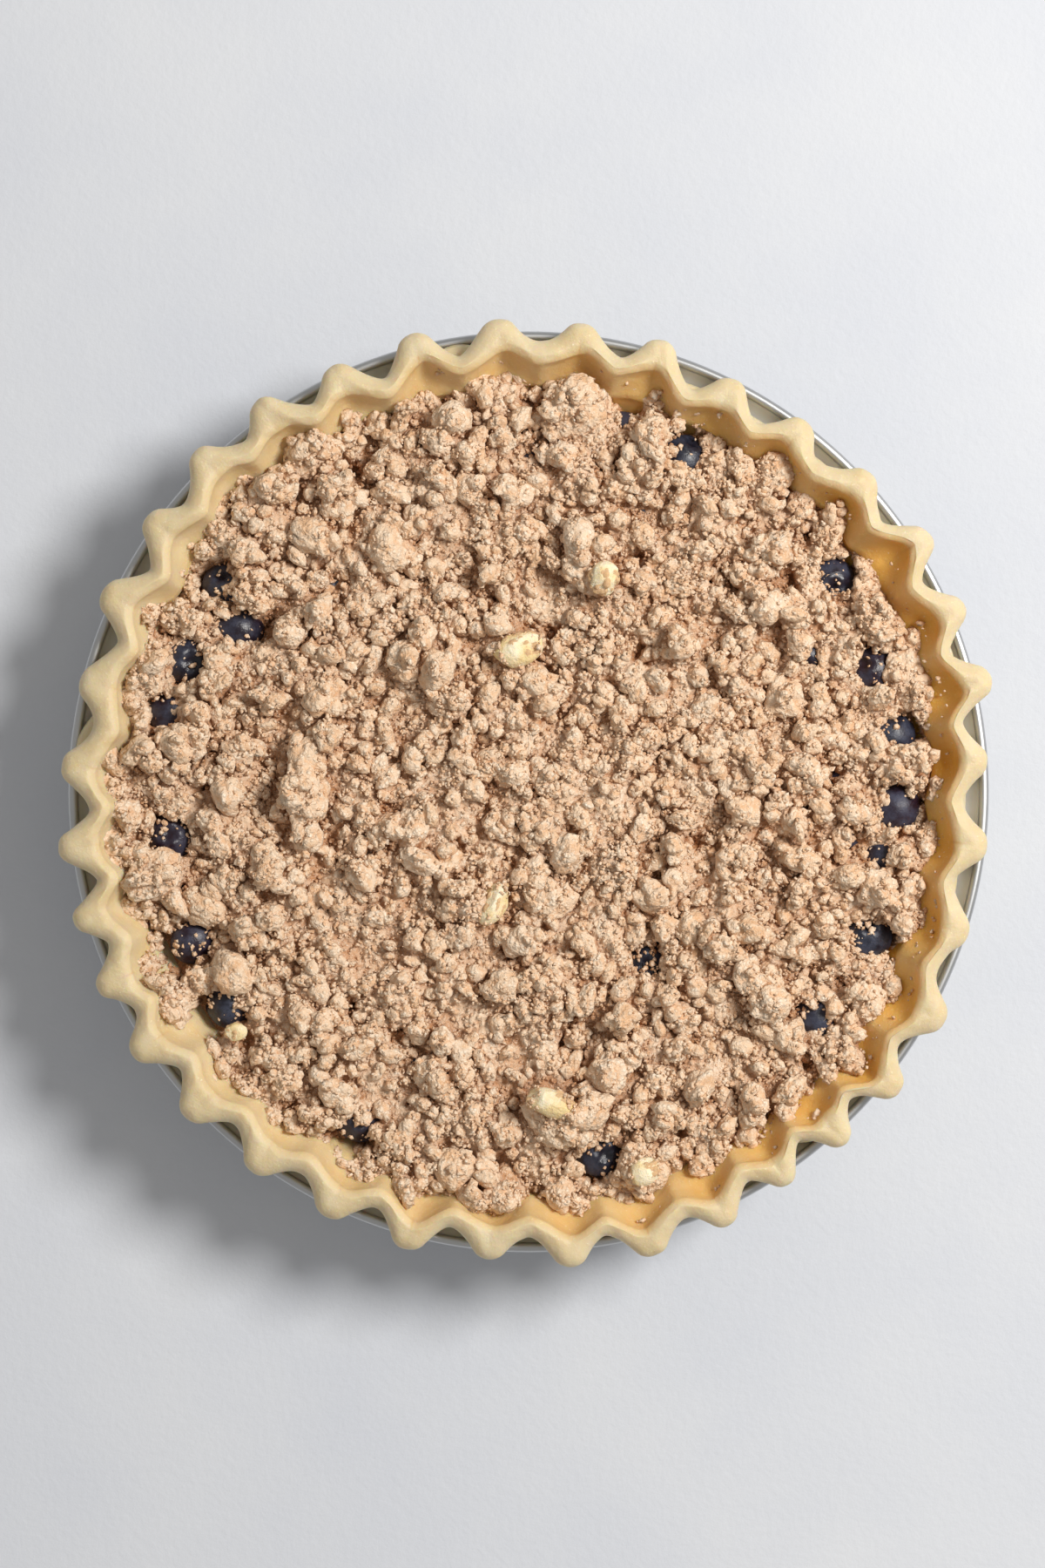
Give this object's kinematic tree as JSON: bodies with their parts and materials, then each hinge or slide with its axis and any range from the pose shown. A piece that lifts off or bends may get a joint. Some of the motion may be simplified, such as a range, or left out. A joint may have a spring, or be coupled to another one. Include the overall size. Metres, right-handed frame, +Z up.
{
  "type": "blueberry crumble pie",
  "caption": "Unbaked blueberry pie in a round sloping metal pie tin, with a pinched fluted pastry edge and a lumpy crumble topping with berries showing round its edge.",
  "frame": {"origin": "middle of the tin's flat underside, which stands on the table", "axes": "+Z up through the middle of the pie; +X to the picture's right and +Y to the picture's top"},
  "size_m": [0.249, 0.2533, 0.0517],
  "materials": {
    "tin": "satin",
    "pastry": "smooth raw dough, slightly satin",
    "berry": "dark berry skin with a dusty bloom",
    "crumble": "dry, grainy butter crumble"
  },
  "bodies": {
    "root": {"pie_tin": "tin", "pastry_case": "pastry", "blueberry_filling": "berry", "crumble_topping": "crumble"}
  },
  "joints": []
}
